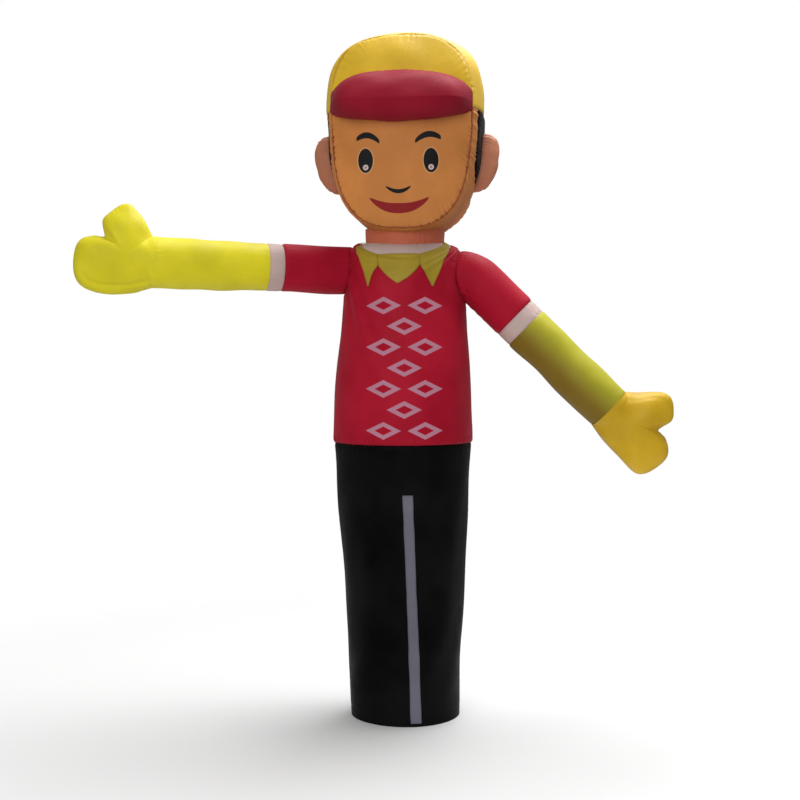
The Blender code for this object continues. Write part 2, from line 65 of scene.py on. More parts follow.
# The tubes' side seams and their gathers, the hem's stitching, the head's gathers, and how far back from its
# bend an arm still cuts the shirt.
SIDE_SEAM_TURN = math.radians(92)
SIDE_GATHER = 0.00128
HEM_HEIGHT = 0.040
HEAD_GATHERS = 2.2
HEAD_REACH = 0.026
CAP_GATHERS = 0.7
ARM_SIDE = 0.12

# Fineness of the grids: columns along a seam, steps between seams.
LEG_COLUMNS, LEG_STEPS = 300, 110
SHIRT_COLUMNS, SHIRT_STEPS = 300, 176
NECK_COLUMNS = 260
ARM_COLUMNS = 144
MITTEN_COLUMNS, MITTEN_STEPS = 18, 48
PANEL_COLUMNS, PANEL_STEPS = 290, 92
CAP_COLUMNS, JAW_COLUMNS, HAIR_COLUMNS = 360, 460, 120
VISOR_COLUMNS, VISOR_STEPS = 190, 46
EAR_COLUMNS, EAR_STEPS = 160, 60
STRIPE_COLUMNS, STRIPE_STEPS = 13, 220
COLLAR_COLUMNS, COLLAR_STEPS = 36, 48

# The painted shade in a seam's crease, as a dark line, the stitches beside it, threads, and the rip-stop grid.
PAINTED_CREASE_SHADE_WIDTH = (0.0018, 0.0062)
PAINTED_CREASE_SHADE_TINT = (0.42, 0.25, 0.35)
STITCH_AWAY = 0.0065
STITCH_HALF_WIDTH = 0.0006
STITCH_PITCH = 0.004
STITCH_SHARE = 0.62
STITCH_HEIGHT = 4.0
THREAD_PITCH = 0.0012
GRID_PITCH = 0.0055
GRID_THREAD = 0.055
GRID_HEIGHT = 1.5
PRINT_SOFT = 0.0012

# Tube rows: height, half width, half depth, middle X, how far front and back dip.
LEG_ROWS = (
    (0.000, 0.234, 0.234, 0.003, 0.000),
    (0.300, 0.247, 0.247, 0.000, 0.000),
    (0.610, 0.262, 0.262, -0.003, 0.000),
    (0.900, 0.281, 0.281, -0.006, 0.000),
    (1.196, 0.300, 0.300, -0.009, 0.000),
)
SHIRT_ROWS = (
    (1.199, 0.303, 0.303, -0.009, 0.000),
    (1.400, 0.299, 0.299, -0.007, 0.000),
    (1.640, 0.2775, 0.2775, -0.005, 0.000),
    (1.840, 0.261, 0.261, -0.002, 0.000),
    (1.930, 0.2585, 0.2540, 0.000, 0.000),
    (1.990, 0.256, 0.240, 0.000, 0.002),
    (2.025, 0.251, 0.221, 0.000, 0.005),
    (2.048, 0.234, 0.202, 0.000, 0.009),
    (2.061, 0.211, 0.187, 0.000, 0.012),
    (2.068, 0.190, 0.177, 0.000, 0.014),
    (2.071, 0.1706, 0.1706, 0.000, 0.015),
)
NECKLINE_FRONT = 0.066
NECKLINE_SIDE = 0.002
NECK_RADIUS = 0.1693
NECK_FROM = 2.035
NECK_TO = 2.135

# Arms: side, height at the axis, how far behind the middle the axis starts, turn towards the front, drop,
# then places along the arm and radii.
BEND_START = 0.250
BEND_RADIUS = 0.108
LEFT_ARM = dict(side=-1, height=1.953, back=0.070, forward=math.radians(17), drop=math.radians(-1.2),
                cuff=0.566, forearm=0.631, wrist=1.118, root_radius=0.1005, wrist_radius=0.1095, fold=0.0065)
RIGHT_ARM = dict(side=1, height=1.930, back=-0.020, forward=math.radians(4), drop=math.radians(44.4),
                 cuff=0.553, forearm=0.620, wrist=1.122, root_radius=0.102, wrist_radius=0.102, fold=0.0013)
ARM_RISE = 0.0015
ARM_TURNS = np.linspace(0, 2 * math.pi, ARM_COLUMNS, endpoint=False)

# Mittens: along the arm from the wrist, and across it towards the thumb, then the palm's middle and half depth,
# and how far from the edge its fold runs.
LEFT_MITTEN = ((0.038, 0.178), (0.070, 0.217), (0.100, 0.240), (0.136, 0.234), (0.176, 0.204),
               (0.208, 0.166), (0.198, 0.102), (0.246, 0.101), (0.294, 0.084), (0.318, 0.040),
               (0.323, -0.040), (0.302, -0.098), (0.250, -0.130), (0.170, -0.142), (0.080, -0.133))
RIGHT_MITTEN = ((0.040, 0.137), (0.080, 0.180), (0.118, 0.214), (0.155, 0.222), (0.196, 0.200),
                (0.232, 0.152), (0.217, 0.084), (0.262, 0.081), (0.305, 0.058), (0.330, 0.020),
                (0.328, -0.040), (0.309, -0.096), (0.270, -0.122), (0.180, -0.120), (0.080, -0.116))
PALM_MIDDLE = (0.120, 0.025)
PALM_HALF_DEPTH = 0.088
HAND_FOLD_AWAY = 0.034

# The head, about a middle at the height of the cap's edge.
HEAD_X = 0.0065
HEAD_HEIGHT = 2.630
HEAD_TURN = math.radians(-6.5)

# Outlines: half width, reach up and down, and how boxy the upper and the lower half are.
HEAD_OUTLINE = (0.341, 0.345, 0.530, 2.9, 2.4)
PANEL_OUTLINE = (0.299, 0.316, 0.507, 2.9, 2.9)
PANEL_DEPTH = 0.210
PANEL_CROWN = 0.090
PANEL_FALL = 2.4
BAND_SWELL = 2.6
HAIR_EDGE = -0.76
HAIR_LOW = math.radians(-54)
HAIR_TIP = 0.985
HAIR_SWEEP = 7

# Visor: half length, then its upper root, lower root and front edge, each by its height at the middle, its
# height at the ends and how late it bends, and how far it stands out.
VISOR_HALF = 0.296
VISOR_LINES = ((2.768, 2.705, 2.9), (2.568, 2.612, 1.8), (2.630, 2.655, 2.4))
VISOR_REACH = 0.135
VISOR_PUFF = 0.026
VISOR_TAPER = 9.0
VISOR_FOLD = 4
VISOR_LIFT = 0.006

# Ears: height, half height, half thickness, reach, and place front to back.
EAR_HEIGHT = 2.425
EAR_HALF_HEIGHT = 0.128
EAR_HALF_DEPTH = 0.050
EAR_REACH = 0.076
EAR_BACK = 0.010
EAR_ROUNDNESS = 0.45

# Collar pieces: angle from straight ahead and height, down each edge, then how far the flaps reach over the
# inset in degrees and how high each piece lies.
INSET_LEFT = ((-28.9, 2.008), (-26.8, 1.965), (-17.2, 1.916), (-7.6, 1.884))
INSET_RIGHT = ((14.0, 2.008), (14.1, 1.965), (4.1, 1.914), (-6.4, 1.884))
FLAP_LEFT_OUTER = ((-66.0, 2.066), (-51.7, 2.012), (-42.9, 1.944), (-37.2, 1.872))
FLAP_LEFT_INNER = ((-30.4, 2.008), (-28.6, 1.965), (-32.0, 1.926), (-36.0, 1.872))
FLAP_RIGHT_INNER = ((15.8, 2.006), (16.0, 1.965), (20.6, 1.918), (25.8, 1.872))
FLAP_RIGHT_OUTER = ((60.0, 2.067), (42.6, 2.004), (33.0, 1.931), (27.0, 1.872))
FLAP_OVERLAP = 2.6
BAND_RISE = 0.0055
INSET_LIFT = 0.0014
FLAP_LIFT = 0.0030

# Leg stripe: height, angle of its middle from straight ahead, half width.
STRIPE_ROWS = ((0.025, 10.8, 0.0235), (0.350, 8.2, 0.0225), (0.580, 6.0, 0.0200), (0.981, 3.4, 0.0225))

# The printed face, in the head's own frame. An arc is its middle X, half length, height of its ends,
# height of its middle, half thickness, how bluntly it ends, how flat its middle is, and its tilt.
EYES = ((-0.142, -0.230), (0.1335, -0.232))
EYE_HALF = (0.0315, 0.0505)
EYE_RIM = 0.0028
GLINT_DROP = 0.028
GLINT_RADIUS = 0.0115
BROWS = (
    (-0.1315, 0.0490, -0.1470, -0.1255, 0.0128, 0.18, 2.0, -0.0075),
    (0.1215, 0.0535, -0.1470, -0.1250, 0.0128, 0.18, 2.0, 0.0085),
)
NOSE_ARC = (-0.0060, 0.0525, -0.339, -0.3585, 0.0085, 0.35, 2.0, 0.0)
MOUTH_ARC = (-0.0045, 0.1270, -0.385, -0.4265, 0.0205, 0.55, 2.4, 0.0)

# The chest's printed lozenges: middle, pitch of the rows, how many, sideways step, half sizes, soft rim,
# and how far in front of the tube's middle they start.
CHEST_MIDDLE = (-0.004, 1.525)
CHEST_PITCH = 0.088
CHEST_ROWS = 7
CHEST_STEP = 0.088
CHEST_HALF = (0.074, 0.037)
CHEST_SOFT = 0.04
CHEST_FRONT = 0.1

# Camera: place from the figure's middle, lens and how far the horizon lies above the picture's middle.
CAMERA_PLACE = (-0.0221, -5.6, 1.55)
LENS = 56.92
HORIZON_SHIFT = -0.0475

# Light: the room's own, then lamps by place, target, size and power.
ROOM_LIGHT = 0.33
LIGHTS = (
    ("overhead", (1.2, 1.2, 6.2), (0, 0, 1.8), 4.0, 420),
    ("front", (-1.5, -6.5, 3.4), (0, 0, 1.7), 5.0, 205),
)
FLOOR_REACH = (1.0, 3.2)

# Colours, linear: the red of shirt and sleeves, those of two single pieces, the right forearm's a darker lime
# as painted shade, those that are printed, and the floor's. The forearm's painted shade on its underside has
# its colour below the first height round the arm, of -1 to 1.
RED = (0.40, 0.002, 0.020)
NECK_TAN = (0.60, 0.150, 0.075)
SHADED_LIME = (0.50, 0.47, 0.022)
PAINTED_FOREARM_SHADE = (0.215, 0.135, 0.006)
PAINTED_FOREARM_SHADE_FROM = (-0.55, 0.75)
PRINT_BLACK = (0.0020, 0.0020, 0.0030)
PRINT_RED = (0.27, 0.008, 0.012)
PRINT_PINK = (0.50, 0.22, 0.30)
PRINT_RIM = (0.78, 0.42, 0.20)
GLINT = (0.66, 0.52, 0.51)
GLINT_MIDDLE = (0.38, 0.22, 0.21)
FLOOR = (0.86, 0.86, 0.86)

# Each slot's colour, roughness, how dark the painted shade in its seams looks, and how much it shines.
SLOTS = {
    "black_nylon": ((0.0015, 0.0015, 0.0020), 0.50, 0.3, 0.03),
    "grey_nylon": ((0.13, 0.13, 0.165), 0.55, 0.3, 0.30),
    "red_nylon": (RED, 0.58, 0.5, 0.12),
    "off_white_nylon": ((0.57, 0.42, 0.385), 0.60, 0.3, 0.30),
    "olive_yellow_nylon": ((0.38, 0.27, 0.013), 0.58, 0.3, 0.30),
    "lime_yellow_nylon": ((0.74, 0.65, 0.008), 0.56, 0.0, 0.28),
    "orange_yellow_nylon": ((0.70, 0.43, 0.005), 0.52, 0.3, 0.35),
    "skin_nylon": ((0.64, 0.235, 0.056), 0.60, 0.90, 0.24),
    "tan_nylon": ((0.53, 0.195, 0.105), 0.56, 0.6, 0.30),
    "yellow_nylon": ((0.79, 0.50, 0.017), 0.54, 0.5, 0.35),
    "crimson_nylon": ((0.28, 0.004, 0.020), 0.62, 0.5, 0.10),
}


# Curves and noise.

def spline(rows, at):
    """Values of a smooth curve through table rows, at row numbers that may lie between rows."""
    rows = np.asarray(rows, float)
    at = np.clip(np.asarray(at, float), 0, len(rows) - 1)
    low = np.minimum(at.astype(int), len(rows) - 2)
    share = (at - low)[..., None]
    before, after = rows[np.maximum(low - 1, 0)], rows[np.minimum(low + 2, len(rows) - 1)]
    start, end = rows[low], rows[low + 1]
    bend = 2 * before - 5 * start + 4 * end - after
    return start + share / 2 * (end - before + share * (bend + share * (3 * (start - end) + after - before)))


def waves(values, length, seed, count=5):
    """Smooth seeded noise along a line, about -1 to 1, with features about `length` apart."""
    chance = np.random.default_rng(seed)
    total = np.zeros_like(values, dtype=float)
    for _ in range(count):
        pitch = length * chance.uniform(0.6, 1.7)
        total += np.sin(2 * math.pi * values / pitch + chance.uniform(0, 2 * math.pi))
    return total / math.sqrt(count)


def swells(points, length, seed, count=7):
    """Smooth seeded noise in space, about -1 to 1."""
    chance = np.random.default_rng(seed)
    total = np.zeros(points.shape[:-1])
    for _ in range(count):
        way = chance.normal(size=3)
        way *= 2 * math.pi / (length * chance.uniform(0.7, 1.5) * np.linalg.norm(way))
        total += np.sin(points @ way + chance.uniform(0, 2 * math.pi))
    return total / math.sqrt(count)


def eased(count):
    """Shares from 0 to 1 that lie closer together towards both ends."""
    even = np.linspace(0, 1, count)
    return even - 0.85 * np.sin(2 * math.pi * even) / (2 * math.pi)


def last_inside(inside, low, high, times):
    """The highest number between two for which a test still holds, by halving."""
    for _ in range(times):
        middle = (low + high) / 2
        if inside(middle):
            low = middle
        else:
            high = middle
    return low


# Sheets of cloth.

def steps(grid, axis, around):
    """Distances along a grid's rows (axis 0) or columns (axis 1)."""
    if around:
        grid = np.concatenate([grid, grid[:, :1]], axis=1)
    spans = np.linalg.norm(np.diff(grid, axis=axis), axis=-1)
    start = np.zeros_like(np.take(spans, [0], axis=axis))
    return np.concatenate([start, np.cumsum(spans, axis=axis)], axis=axis)


def normals(grid, around, inside):
    """Unit normals over a grid of points, away from a point inside the figure."""
    if around:
        across = np.roll(grid, -1, axis=1) - np.roll(grid, 1, axis=1)
    else:
        across = np.gradient(grid, axis=1)
    out = np.cross(across, np.gradient(grid, axis=0))
    size = np.linalg.norm(out, axis=-1, keepdims=True)
    flat = size[..., 0] < 1e-12
    out = out / np.maximum(size, 1e-12)
    for row, beside in ((0, 1), (-1, -2)):
        if flat[row].any():
            mean = out[beside].mean(axis=0)
            out[row] = mean / max(np.linalg.norm(mean), 1e-9)
    if ((grid - inside) * out).sum() < 0:
        out = -out
    return out


def pucker(along, away, seed, pitch=0.032, reach=0.040, height=0.0035):
    """Gathers that run out from a seam and fade: ridges across it, of uneven length and spacing."""
    phase = along + 0.10 * pitch * waves(away, 0.08, seed + 3)
    ridge = np.abs(np.sin(math.pi * phase / pitch + 1.8 * waves(along, pitch * 4.5, seed + 1))) - 0.62
    length = reach * (1 + 0.55 * waves(along, pitch * 2.3, seed + 2))
    gain = 0.75 + 0.45 * waves(along, pitch * 6, seed + 4)
    return height * gain * ridge * np.exp(-away / np.maximum(length, 0.008))


class Sheet:
    """One cloth piece: its grid of points, measures along it, and the relief laid on it."""

    def __init__(self, name, grid, inside, around=False, seed=0):
        self.name = name
        self.grid = np.asarray(grid, float)
        self.inside = np.asarray(inside, float)
        self.around = around
        self.seed = seed
        self.along = steps(self.grid, 1, around)
        self.up = steps(self.grid, 0, False)
        self.weave = (self.along, self.up)
        self.shape = self.grid.shape[:2]
        self.relief = np.zeros(self.shape)
        self.away = np.full(self.shape, 1.0)
        self.seam_along = np.zeros(self.shape)
        self.rise = SEAM_RISE
        self.lift = 0.0

    def beside(self, edge):
        """How far each point lies from an edge of the grid, and how far along that edge."""
        across = self.along[:, :self.shape[1]]
        if edge == "start":
            return self.up, across[:1] + 0 * across
        if edge == "end":
            return self.up[-1:] - self.up, across[-1:] + 0 * across
        if edge == "left":
            return across, self.up[:, :1] + 0 * across
        return across[:, -1:] - across, self.up[:, -1:] + 0 * across

    def mark(self, away, along):
        """Remember the nearest seam, for the stitches and for where the cloth rises from it."""
        nearer = away < self.away
        self.away = np.where(nearer, away, self.away)
        self.seam_along = np.where(nearer, along, self.seam_along)

    def sew(self, edge, strength=1.0, reach=0.032):
        """Gather one edge: start or end of the rows, left or right of the columns."""
        self.gather(*self.beside(edge), self.seed + 17 * len(edge), strength, reach)
        return self

    def gather(self, away, along, seed, strength=1.0, reach=0.032):
        """Gathers along a seam, coarse ones and fine ones."""
        self.add(pucker(along, away, seed, height=0.0038 * strength, reach=reach))
        self.add(pucker(along, away, seed + 11, pitch=0.013, reach=0.014, height=0.0014 * strength))
        self.mark(away, along)

    def wobble(self, length, height):
        """A slow swell of the cloth."""
        self.relief = self.relief + height * swells(self.grid, length, self.seed + 7)
        return self

    def add(self, relief):
        """Any other relief, in metres outwards."""
        self.relief = self.relief + relief
        return self

    def outwards(self):
        """The whole relief: none at a seam, and risen away from it."""
        risen = self.rise * (1 - np.exp(-(self.away / SEAM_REACH) ** 2))
        return self.lift + risen + self.relief * np.minimum(self.away / 0.005, 1)

    def points(self):
        """The grid with its relief."""
        return self.grid + normals(self.grid, self.around, self.inside) * self.outwards()[..., None]

    def relief_at(self, column, row):
        """Relief at places between the points of a grid that runs right round."""
        relief = self.outwards()
        row = np.clip(row, 0, len(relief) - 1.001)
        low, left = row.astype(int), np.floor(column).astype(int)
        up, right = row - low, column - left
        left, after = left % self.shape[1], (left + 1) % self.shape[1]
        lower = relief[low, left] * (1 - right) + relief[low, after] * right
        upper = relief[low + 1, left] * (1 - right) + relief[low + 1, after] * right
        return lower * (1 - up) + upper * up


def widened(values, edges):
    """Repeat the outer rows and columns of a measure where seam allowances are added."""
    start, end, left, right = (int(edge in edges) for edge in EDGE_LINES)
    spans = [(start, end), (left, right), (0, 0)]
    return np.pad(values, spans[:values.ndim], mode="edge")


def tucked(points, out, edges):
    """Add rows and columns that turn the sewn edges inwards by the seam allowance."""
    points, out = widened(points, edges), widened(out, edges)
    for edge, line in EDGE_LINES.items():
        if edge in edges:
            points[line] -= SEAM_TUCK * out[line]
    return points, out


def make_mesh(name, points, around, outward, layers):
    """A smooth mesh over a grid, with a UV layer for each pair of measures."""
    count, width = points.shape[:2]
    row, column = np.meshgrid(np.arange(count - 1), np.arange(width if around else width - 1), indexing="ij")
    rows = np.stack([row, row, row + 1, row + 1], axis=-1).reshape(-1, 4)
    columns = np.stack([column, column + 1, column + 1, column], axis=-1).reshape(-1, 4)
    quads = rows * width + columns % width
    flat = points.reshape(-1, 3)
    corner = flat[quads]
    facing = np.cross(corner[:, 2] - corner[:, 0], corner[:, 3] - corner[:, 1])
    if (facing * outward.reshape(-1, 3)[quads[:, 0]]).sum() < 0:
        quads, rows, columns = quads[:, ::-1], rows[:, ::-1], columns[:, ::-1]
    mesh = bpy.data.meshes.new(name)
    mesh.from_pydata(flat.tolist(), [], quads.tolist())
    for label, pair in layers.items():
        layer = mesh.uv_layers.new(name=label)
        values = np.stack([measure[rows, columns % measure.shape[1]] for measure in pair], axis=-1)
        layer.data.foreach_set("uv", values.reshape(-1).astype(np.float32))
    mesh.shade_smooth()
    return mesh


def placed(name, data, place=(0, 0, 0)):
    """A new object in the scene."""
    thing = bpy.data.objects.new(name, data)
    thing.location = place
    bpy.context.scene.collection.objects.link(thing)
    return thing


def weld(thing):
    """Join points that lie together, such as the many at a panel's middle."""
    shape = bmesh.new()
    shape.from_mesh(thing.data)
    bmesh.ops.remove_doubles(shape, verts=shape.verts, dist=WELD_DISTANCE)
    shape.to_mesh(thing.data)
    shape.free()


def finish_sheet(sheet, slot, tuck="", node=None, thickness=0.0, material=None):
    """Turn a sheet into an object that stands for its CAD node."""
    points = sheet.points()
    points, out = tucked(points, normals(points, sheet.around, sheet.inside), tuck)
    layers = {label: tuple(widened(measure, tuck) for measure in pair)
              for label, pair in (("cloth", sheet.weave), ("seam", (sheet.seam_along, sheet.away)))}
    mesh = make_mesh(sheet.name, points + AXIS, sheet.around, out, layers)
    thing = placed(sheet.name, mesh)
    weld(thing)
    mesh.materials.append(material or NYLON[slot])
    if thickness:
        layer = thing.modifiers.new("thickness", "SOLIDIFY")
        layer.thickness = thickness
        layer.offset = 1
    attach(thing, "root")
    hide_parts(node or sheet.name.removesuffix("_cloth"))
    declare_sheet(sheet)
    return thing


def declare_sheet(sheet):
    """Gather the corners of the piece's grid, closed where it runs right round; nothing is done with them."""
    corners = sheet.grid
    if sheet.around:
        corners = np.concatenate([corners, corners[:, :1]], axis=1)


# The nylon.

class Value:
    """A number that a shader works out at each point, with ordinary arithmetic."""

    def __init__(self, tree, socket):
        self.tree = tree
        self.socket = socket

    def __add__(self, other):
        return work_out("ADD", self, other)

    def __sub__(self, other):
        return work_out("SUBTRACT", self, other)

    def __rsub__(self, other):
        return work_out("SUBTRACT", other, self)

    def __mul__(self, other):
        return work_out("MULTIPLY", self, other)

    def __truediv__(self, other):
        return work_out("DIVIDE", self, other)

    def __abs__(self):
        return work_out("ABSOLUTE", self)


def feed(place, value):
    """Give a node's input a value, a colour or a number."""
    if isinstance(value, Value):
        value.tree.links.new(value.socket, place)
    else:
        place.default_value = (*value, 1) if isinstance(value, tuple) else value


def add_node(tree, kind, inputs, output, **settings):
    """One output of a new node with its settings, fed from values, colours and numbers."""
    node = tree.nodes.new(f"ShaderNode{kind}")
    for label, setting in settings.items():
        setattr(node, label, setting)
    for place, value in inputs.items():
        feed(node.inputs[place], value)
    return Value(tree, node.outputs[output])


def work_out(operation, *values):
    """A value from other values and plain numbers."""
    tree = next(value.tree for value in values if isinstance(value, Value))
    return add_node(tree, "Math", dict(enumerate(values)), 0, operation=operation)


def between(value, low, high):
    """A smooth share: 0 below low, 1 above high."""
    share = work_out("MAXIMUM", (value - low) / (high - low), 0.0)
    share = work_out("MINIMUM", share, 1.0)
    return share * share * (3.0 - share * 2.0)


def noise(where, scale, detail):
    """Noise over a coordinate, about 0 to 1."""
    return add_node(where.tree, "TexNoise", {"Vector": where, "Scale": scale, "Detail": detail}, "Fac")


def mixed(share, under, over):
    """One colour over another by a share."""
    inputs = {"Factor": share, "A": under, "B": over}
    return add_node(share.tree, "Mix", inputs, "Result", data_type="RGBA")


def bump(height, distance, strength, **under):
    """Normals bent by a height, over any that are bent already."""
    inputs = {"Distance": distance, "Strength": strength, "Height": height, **under}
    return add_node(height.tree, "Bump", inputs, 0)


def coordinate(tree):
    """Places in the object's own frame."""
    return add_node(tree, "TexCoord", {}, "Object")


def parts(vector):
    """The three numbers of a vector."""
    first = add_node(vector.tree, "SeparateXYZ", {0: vector}, 0)
    return [Value(vector.tree, socket) for socket in first.socket.node.outputs]


def measures(tree, layer):
    """The two measures of a UV layer."""
    return parts(add_node(tree, "UVMap", {}, 0, uv_map=layer))[:2]


def seam_marks(tree):
    """Shares of the painted shade, a dark line in a seam, and of the row of stitches beside it."""
    along, away = measures(tree, "seam")
    row = work_out("LESS_THAN", abs(away - STITCH_AWAY), STITCH_HALF_WIDTH)
    dash = work_out("LESS_THAN", work_out("FRACT", along / STITCH_PITCH), STITCH_SHARE)
    return 1.0 - between(away, *PAINTED_CREASE_SHADE_WIDTH), row * dash


def weave_height(tree):
    """Height of the woven threads, with the thicker thread of a rip-stop grid."""
    threads, thick = [], []
    for measure in measures(tree, "cloth"):
        threads.append(work_out("SINE", measure * (2 * math.pi / THREAD_PITCH)))
        place = abs(work_out("FRACT", measure / GRID_PITCH) - 0.5)
        thick.append(work_out("LESS_THAN", place, GRID_THREAD))
    return threads[0] * threads[1] + work_out("MAXIMUM", *thick) * GRID_HEIGHT


def new_material(name):
    """A material, its node tree and its shader's inputs."""
    material = bpy.data.materials.new(name)
    material.use_nodes = True
    return material, material.node_tree, material.node_tree.nodes["Principled BSDF"].inputs


def nylon(name, colour, roughness, seam, shine, print_and_shade=None):
    """Woven nylon: faintly uneven colour, crumples, threads, painted shade along the seams, and stitches."""
    material, tree, inputs = new_material(name)
    where = coordinate(tree)
    dark = tuple(0.84 * value for value in colour)
    light = tuple(min(1.10 * value + 0.004, 1) for value in colour)
    cloth = mixed(between(noise(where, 3.5, 4.0), 0.30, 0.70), dark, light)
    # Print on the face and the chest; painted shade on the lowered forearm.
    if print_and_shade:
        cloth = print_and_shade(tree, cloth)
    line, stitches = seam_marks(tree)
    # Painted shade in the seams' creases: a darker tint of the cloth.
    cloth = mixed(line * seam, cloth, tuple(share * value for share, value in zip(PAINTED_CREASE_SHADE_TINT, colour)))
    cloth = mixed(stitches * 0.4, cloth, tuple(0.6 * value + 0.02 for value in colour))
    gloss = between(noise(where, 9.0, 3.0), 0.25, 0.75)
    folds = noise(where, 9.0, 4.0) + noise(where, 34.0, 3.0) * 0.35
    threads = weave_height(tree) + stitches * STITCH_HEIGHT
    crumpled = bump(folds, 0.0035, 0.55)
    for label, value in (("Base Color", cloth), ("Roughness", gloss * 0.12 + (roughness - 0.05)),
                         ("Specular IOR Level", shine), ("Sheen Weight", 0.02), ("Sheen Roughness", 0.45),
                         ("Normal", bump(threads, 0.00012, 0.35, Normal=crumpled))):
        feed(inputs[label], value)
    return material


# What is printed on the face and the chest, and the painted shade on the lowered forearm.

def arc_share(x, z, arc):
    """Share of a printed arc that bends between two ends and tapers towards them."""
    middle_x, half, end_z, middle_z, thick, taper, power, tilt = arc
    off = (x - middle_x) / half
    reach = work_out("MINIMUM", abs(off), 1.0)
    line = work_out("POWER", reach, power) * (end_z - middle_z) + middle_z + off * tilt
    beside = abs(z - line) - work_out("POWER", 1.0 - reach * reach, taper) * thick
    beyond = (abs(off) - 1.0) * half
    return 1.0 - between(work_out("MAXIMUM", beside, beyond), -PRINT_SOFT, PRINT_SOFT)


def oval_share(x, z, middle, half, grow=0.0):
    """Share of a printed oval."""
    first = (x - middle[0]) / (half[0] + grow)
    second = (z - middle[1]) / (half[1] + grow)
    soft = PRINT_SOFT / half[0]
    return 1.0 - between(work_out("SQRT", first * first + second * second), 1 - soft, 1 + soft)


def face_print(tree, cloth):
    """Eyes with glints, brows, a short nose line and a smile."""
    x, z = measures(tree, "cloth")
    for middle in EYES:
        cloth = mixed(oval_share(x, z, middle, EYE_HALF, EYE_RIM), cloth, PRINT_RIM)
        cloth = mixed(oval_share(x, z, middle, EYE_HALF), cloth, PRINT_BLACK)
        for radius, colour in ((GLINT_RADIUS, GLINT), (GLINT_RADIUS / 2, GLINT_MIDDLE)):
            glint = oval_share(x, z, (middle[0], middle[1] - GLINT_DROP), (radius, radius))
            cloth = mixed(glint, cloth, colour)
    for arc in (*BROWS, NOSE_ARC):
        cloth = mixed(arc_share(x, z, arc), cloth, PRINT_BLACK)
    return mixed(arc_share(x, z, MOUTH_ARC), cloth, PRINT_RED)


def painted_forearm_shade(tree, cloth):
    """The lowered forearm's cloth with painted shade: greener above and browner below."""
    around, _ = measures(tree, "cloth")
    upright = work_out("COSINE", around / RIGHT_ARM["wrist_radius"])
    # Painted shade: browner towards the forearm's underside.
    return mixed(1.0 - between(upright, *PAINTED_FOREARM_SHADE_FROM), cloth, PAINTED_FOREARM_SHADE)


def chest_print(tree, cloth):
    """A staggered column of pale lozenges with red middles."""
    x, y, z = parts(coordinate(tree))
    z = z - CHEST_MIDDLE[1]
    row = work_out("FLOOR", z / CHEST_PITCH + 0.5)
    front = work_out("LESS_THAN", y, float(AXIS[1]) - CHEST_FRONT)
    shown = front * work_out("LESS_THAN", abs(row), CHEST_ROWS / 2)
    odd = abs(work_out("MODULO", row, 2.0))
    across = abs(abs(x - (CHEST_MIDDLE[0] + float(AXIS[0]))) - odd * CHEST_STEP)
    reach = across / CHEST_HALF[0] + abs(z - row * CHEST_PITCH) / CHEST_HALF[1]
    for half, colour in ((1.0, PRINT_PINK), (0.5, RED)):
        share = 1.0 - between(reach, half - CHEST_SOFT, half + CHEST_SOFT)
        cloth = mixed(share * shown, cloth, colour)
    return cloth


# The body.

def tube_surface(rows, turn, along):
    """Points of an oval tube, at angles from straight ahead and places along its rows."""
    height, wide, deep, middle, dip = np.moveaxis(spline(rows, along), -1, 0)
    x = middle + wide * np.sin(turn)
    y = -deep * np.cos(turn)
    return np.stack([x, y, height - dip * np.cos(turn) ** 2], axis=-1)


def turns_round(columns):
    """Angles right round a tube, starting at its back."""
    return np.linspace(-math.pi, math.pi, columns, endpoint=False)


def along_at(turn, height):
    """The place along the shirt's rows where it reaches a height, at one angle."""
    places = np.linspace(0, len(SHIRT_ROWS) - 1, 500)
    return float(np.interp(height, tube_surface(SHIRT_ROWS, np.full(500, turn), places)[:, 2], places))


def necklines(turns):
    """Where the shirt stops and the band starts: lower at the front and back than at the sides."""
    top, dip = SHIRT_ROWS[-1][0], SHIRT_ROWS[-1][4]
    drop = NECKLINE_SIDE + (NECKLINE_FRONT - NECKLINE_SIDE) * np.cos(turns) ** 2
    return np.vectorize(along_at)(turns, top - dip * np.cos(turns) ** 2 - drop)


def side_seams(sheet):
    """The two seams down a tube's sides, with small gathers."""
    turn = turns_round(sheet.shape[1])[None, :]
    radius = np.hypot(sheet.grid[..., 0], sheet.grid[..., 1])
    for side, seed in ((-1, 41), (1, 42)):
        away = np.abs(turn - side * SIDE_SEAM_TURN) * radius
        sheet.add(pucker(sheet.up, away, seed, pitch=0.030, reach=0.022, height=SIDE_GATHER))
        sheet.mark(away, sheet.up)


def long_folds(sheet, height, seed):
    """Soft upright folds that fade towards both ends of a tube."""
    turn = turns_round(sheet.shape[1])[None, :]
    share = np.linspace(0, 1, sheet.shape[0])[:, None]
    drift = 0.5 * waves(share, 0.7, seed + 1)
    sheet.add(height * waves(turn + drift, 0.75, seed) * np.sin(math.pi * eased(sheet.shape[0]))[:, None])


def trousers():
    """The black tube, with its hem at the floor and a seam down each side."""
    grid = tube_surface(LEG_ROWS, turns_round(LEG_COLUMNS), eased(LEG_STEPS)[:, None] * (len(LEG_ROWS) - 1))
    grid[0, :, 2] = 0.0
    sheet = Sheet("trousers_cloth", grid, (0, 0, 0.6), around=True, seed=10)
    sheet.sew("end", 1.0).wobble(0.45, 0.0035)
    side_seams(sheet)
    long_folds(sheet, 0.0035, 12)
    sheet.add(-0.0015 * np.exp(-((grid[..., 2] - HEM_HEIGHT) / 0.004) ** 2))
    finish_sheet(sheet, "black_nylon", "end")
    return sheet


